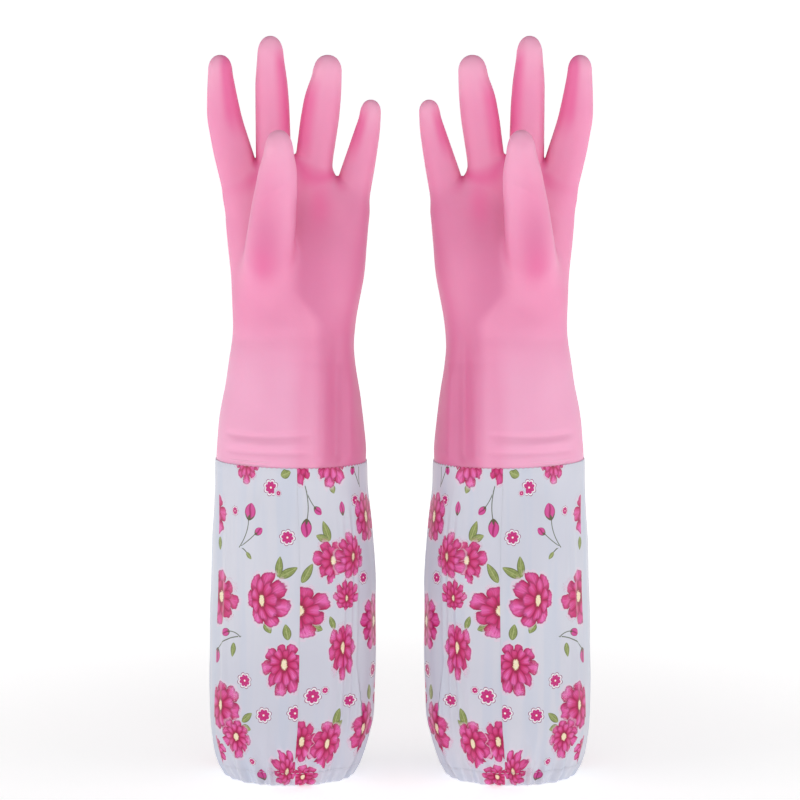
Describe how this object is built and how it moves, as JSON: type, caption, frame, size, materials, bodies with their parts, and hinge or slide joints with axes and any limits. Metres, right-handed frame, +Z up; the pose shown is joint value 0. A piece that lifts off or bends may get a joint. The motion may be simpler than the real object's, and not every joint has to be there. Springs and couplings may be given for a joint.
{
  "type": "rubber gloves",
  "caption": "Pair of long pink household rubber gloves with printed film sleeves gathered at an elastic hem, standing filled out, each stall able to bend.",
  "frame": {"origin": "on the surface the gloves stand on, at the middle of the pair's bounding box", "axes": "+Z up along the forearms to the fingertips, -Y the way both palms face, +X from the left-hand glove to the right-hand glove"},
  "size_m": [0.258, 0.1072, 0.4986],
  "materials": {
    "pink_rubber": "satin dipped latex",
    "printed_film": null,
    "seam_film": "welded film",
    "clear_adhesive": "cured glue",
    "white_elastic": "braided elastic",
    "white_thread": "twisted thread"
  },
  "bodies": {
    "left_glove": {"left_palm_shell": "pink_rubber", "left_adhesive_band": "clear_adhesive", "left_sleeve_front_panel": "printed_film", "left_sleeve_wrap_panel": "printed_film", "left_front_seam_strip": "seam_film", "left_side_seam_strip": "seam_film", "left_hem_casing": "printed_film", "left_hem_elastic": "white_elastic", "left_hem_stitching": "white_thread"},
    "right_glove": {"right_palm_shell": "pink_rubber", "right_adhesive_band": "clear_adhesive", "right_sleeve_front_panel": "printed_film", "right_sleeve_wrap_panel": "printed_film", "right_front_seam_strip": "seam_film", "right_side_seam_strip": "seam_film", "right_hem_casing": "printed_film", "right_hem_elastic": "white_elastic", "right_hem_stitching": "white_thread"},
    "left_index": {"left_index_finger": "pink_rubber"},
    "left_middle": {"left_middle_finger": "pink_rubber"},
    "left_ring": {"left_ring_finger": "pink_rubber"},
    "left_little": {"left_little_finger": "pink_rubber"},
    "left_thumb": {"left_thumb": "pink_rubber"},
    "right_index": {"right_index_finger": "pink_rubber"},
    "right_middle": {"right_middle_finger": "pink_rubber"},
    "right_ring": {"right_ring_finger": "pink_rubber"},
    "right_little": {"right_little_finger": "pink_rubber"},
    "right_thumb": {"right_thumb": "pink_rubber"}
  },
  "joints": [
    {"name": "gloves_apart", "type": "slide", "parent": "left_glove", "child": "right_glove", "axis": [1, 0, 0], "range_m": [-0.02, 0.25]},
    {"name": "left_index_bend", "type": "hinge", "parent": "left_glove", "child": "left_index", "pos_m": [-0.11172, 0.00677, 0.428], "axis": [0.9704, 0, 0.2415], "range_deg": [0, 55], "stiffness_Nm_per_rad": 0.03},
    {"name": "left_middle_bend", "type": "hinge", "parent": "left_glove", "child": "left_middle", "pos_m": [-0.0843, 0.00671, 0.434], "axis": [0.9999, 0, 0.0135], "range_deg": [0, 55], "stiffness_Nm_per_rad": 0.03},
    {"name": "left_ring_bend", "type": "hinge", "parent": "left_glove", "child": "left_ring", "pos_m": [-0.05553, 0.00661, 0.431], "axis": [0.9907, 0, -0.1361], "range_deg": [0, 55], "stiffness_Nm_per_rad": 0.03},
    {"name": "left_little_bend", "type": "hinge", "parent": "left_glove", "child": "left_little", "pos_m": [-0.02608, 0.00621, 0.418], "axis": [0.9673, 0, -0.2537], "range_deg": [0, 55], "stiffness_Nm_per_rad": 0.03},
    {"name": "left_thumb_bend", "type": "hinge", "parent": "left_glove", "child": "left_thumb", "pos_m": [-0.08546, -0.03086, 0.377], "axis": [0, 0.9216, 0.3882], "range_deg": [0, 40], "stiffness_Nm_per_rad": 0.03},
    {"name": "right_index_bend", "type": "hinge", "parent": "right_glove", "child": "right_index", "pos_m": [0.11172, 0.00677, 0.428], "axis": [0.9704, 0, -0.2415], "range_deg": [0, 55], "stiffness_Nm_per_rad": 0.03},
    {"name": "right_middle_bend", "type": "hinge", "parent": "right_glove", "child": "right_middle", "pos_m": [0.0843, 0.00671, 0.434], "axis": [0.9999, 0, -0.0135], "range_deg": [0, 55], "stiffness_Nm_per_rad": 0.03},
    {"name": "right_ring_bend", "type": "hinge", "parent": "right_glove", "child": "right_ring", "pos_m": [0.05553, 0.00661, 0.431], "axis": [0.9907, 0, 0.1361], "range_deg": [0, 55], "stiffness_Nm_per_rad": 0.03},
    {"name": "right_little_bend", "type": "hinge", "parent": "right_glove", "child": "right_little", "pos_m": [0.02608, 0.00621, 0.418], "axis": [0.9673, 0, 0.2537], "range_deg": [0, 55], "stiffness_Nm_per_rad": 0.03},
    {"name": "right_thumb_bend", "type": "hinge", "parent": "right_glove", "child": "right_thumb", "pos_m": [0.08546, -0.03086, 0.377], "axis": [0, -0.9216, -0.3882], "range_deg": [0, 40], "stiffness_Nm_per_rad": 0.03}
  ]
}
